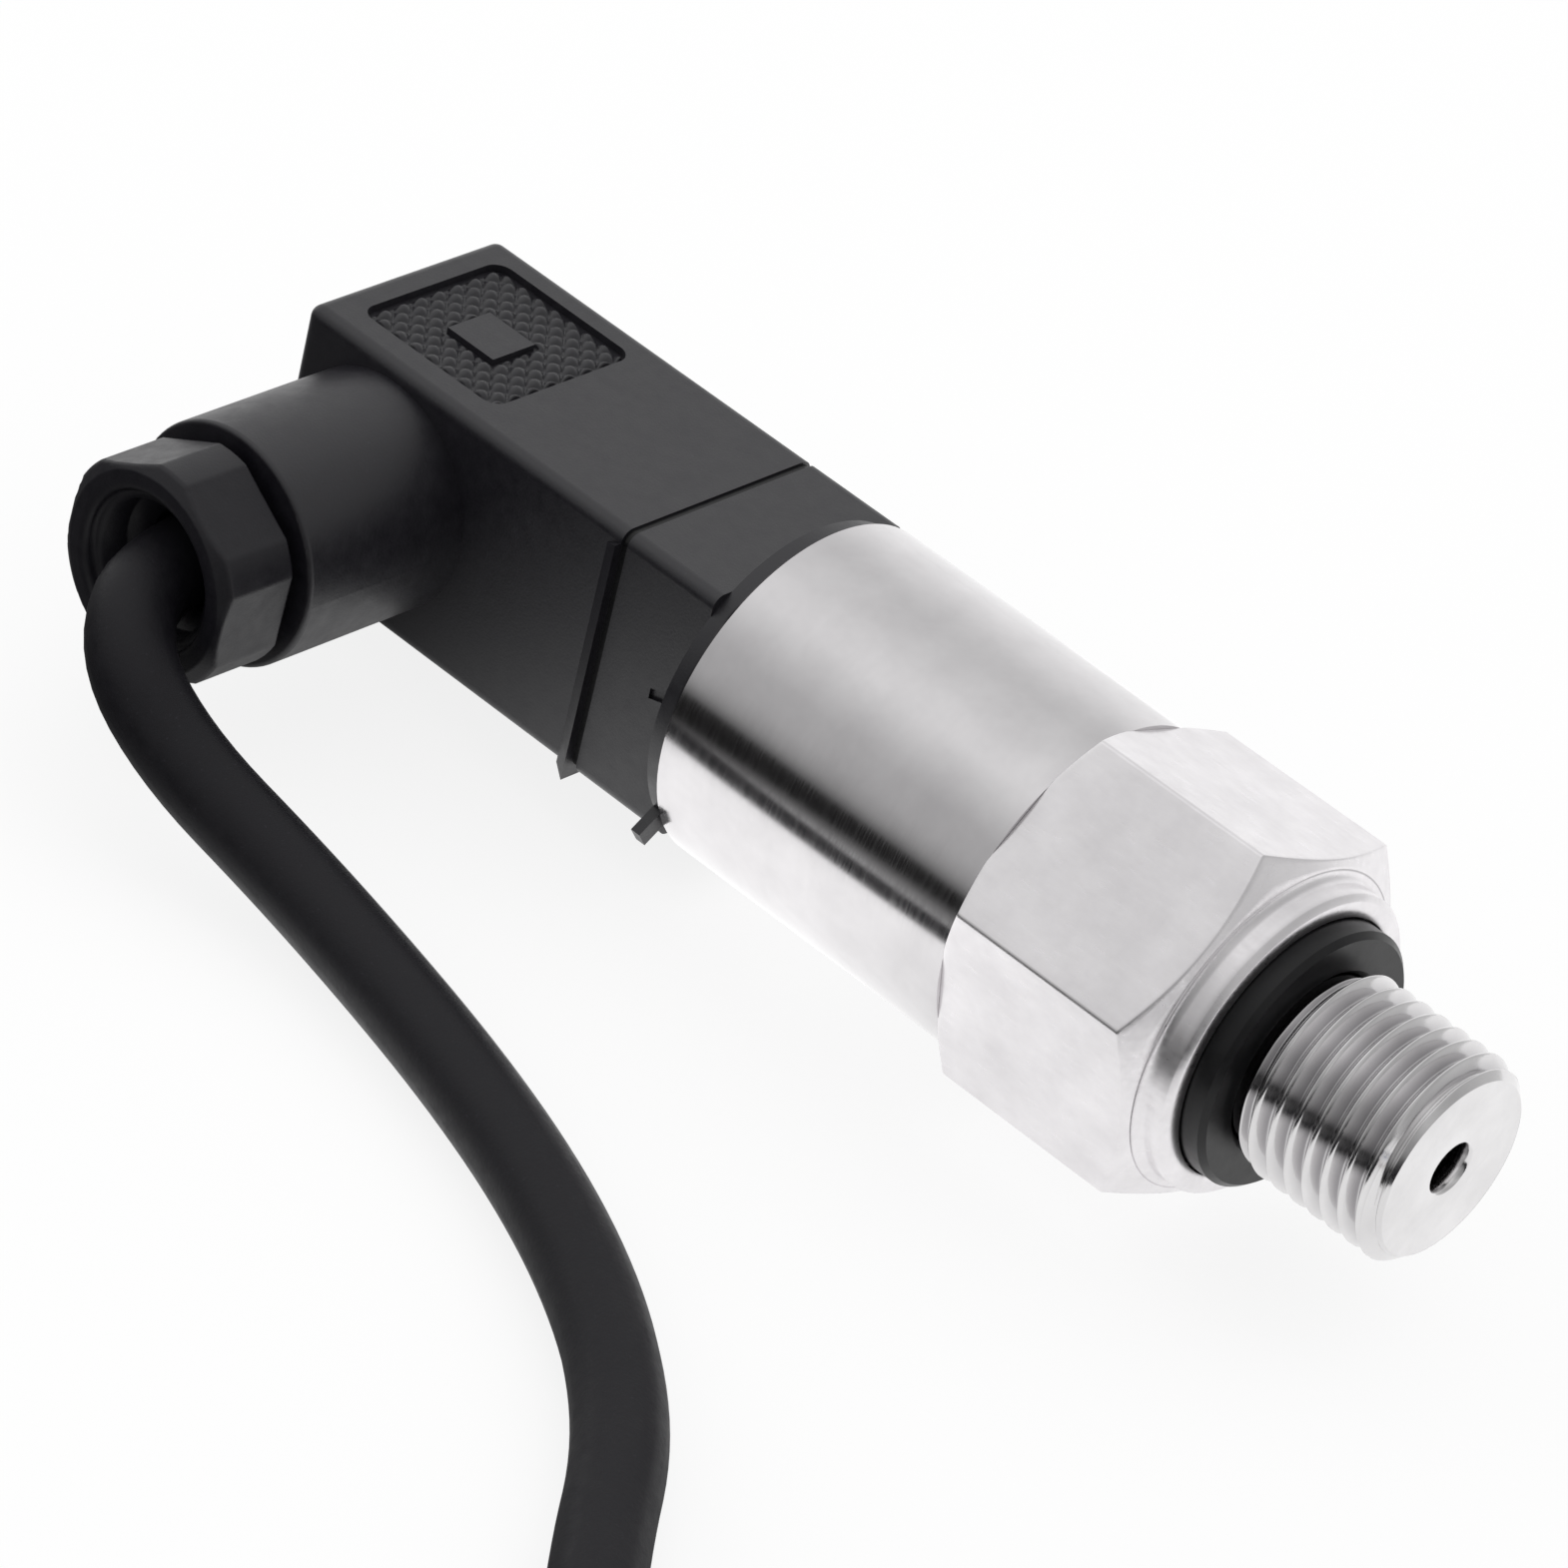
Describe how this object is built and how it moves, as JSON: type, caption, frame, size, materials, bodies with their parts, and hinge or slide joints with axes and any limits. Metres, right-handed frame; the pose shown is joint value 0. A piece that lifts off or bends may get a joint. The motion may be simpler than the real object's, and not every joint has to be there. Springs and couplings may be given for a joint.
{
  "type": "pressure transmitter",
  "caption": "Pressure transmitter with a steel hexagon body, a parallel-threaded process stud with a face seal and a right-angle plug with a cable gland and lead.",
  "frame": {"origin": "centre of the sealing face, on the axis of the process thread", "axes": "+X runs along the process axis out of the thread's tip, -Y is the way the cable leaves the plug, and +Z is the plug's grip-pad side, up as the part lies"},
  "size_m": [0.1793, 0.1087, 0.0248],
  "materials": {
    "fitting_steel": "turned and milled stainless steel",
    "case_steel": "finely brushed stainless tube",
    "seal_rubber": "matt black elastomer",
    "cell_ceramic": "fine alumina",
    "inner_steel": "turned",
    "spacer_plastic": "moulded",
    "board_green": "solder mask",
    "component_black": "moulded",
    "trimmer_blue": "moulded",
    "tinned_wire": "tinned",
    "base_plastic": "satin moulded black",
    "contact_metal": "tinned brass",
    "insert_brass": "turned",
    "gasket_rubber": "matt black elastomer",
    "housing_plastic": "satin moulded black",
    "nut_plastic": "satin moulded black",
    "carrier_plastic": "moulded",
    "screw_steel": "zinc plated",
    "cable_sheath": "matt black sheath",
    "core_brown": "insulation",
    "core_blue": "insulation",
    "core_black": "insulation",
    "ferrule_tin": "tinned copper sleeve"
  },
  "bodies": {
    "transmitter": {"process_fitting": "fitting_steel", "profile_seal_ring": "seal_rubber", "sensor_cell": "cell_ceramic", "cell_seal": "seal_rubber", "cell_clamp_ring": "inner_steel", "board_spacer": "spacer_plastic", "circuit_board": "board_green", "amplifier_chip": "component_black", "zero_trimmer": "trimmer_blue", "span_trimmer": "trimmer_blue", "cell_leads": "tinned_wire", "board_leads": "tinned_wire", "case_tube": "case_steel", "connector_base": "base_plastic", "base_seal": "seal_rubber", "signal_blade": "contact_metal", "supply_blade": "contact_metal", "common_blade": "contact_metal", "earth_blade": "contact_metal", "screw_insert": "insert_brass", "plug_gasket": "gasket_rubber", "plug_housing": "housing_plastic", "gland_grommet": "gasket_rubber", "contact_carrier": "carrier_plastic", "signal_socket": "contact_metal", "supply_socket": "contact_metal", "common_socket": "contact_metal", "earth_socket": "contact_metal", "terminal_screws": "screw_steel", "cable_inner_end": "cable_sheath", "signal_wire": "core_brown", "supply_wire": "core_blue", "earth_wire": "core_black", "cable_tube": "cable_sheath", "cable_coil": "cable_sheath", "brown_core": "core_brown", "blue_core": "core_blue", "black_core": "core_black", "brown_ferrule": "ferrule_tin", "blue_ferrule": "ferrule_tin", "black_ferrule": "ferrule_tin"},
    "washer": {"gland_washer": "carrier_plastic"},
    "gland": {"gland_nut": "nut_plastic"},
    "seal": {"screw_seal": "gasket_rubber"},
    "screw": {"retaining_screw": "screw_steel"}
  },
  "joints": [
    {"name": "gland_travel", "type": "slide", "parent": "transmitter", "child": "washer", "axis": [0, -1, 0], "range_m": [0, 0.001]},
    {"name": "gland_turn", "type": "hinge", "parent": "washer", "child": "gland", "pos_m": [-0.06655, -0.0235, 0], "axis": [0, -1, 0], "range_deg": [0, 360]},
    {"name": "screw_travel", "type": "slide", "parent": "transmitter", "child": "seal", "axis": [-1, 0, 0], "range_m": [0, 0.0045]},
    {"name": "screw_turn", "type": "hinge", "parent": "seal", "child": "screw", "pos_m": [-0.0731, 0, 0], "axis": [-1, 0, 0], "range_deg": [0, 3600]}
  ],
  "couplings": [
    {"joint": "gland_turn", "follows": "gland_travel", "rad_per_m": 6283.2},
    {"joint": "screw_turn", "follows": "screw_travel", "rad_per_m": 13963}
  ]
}
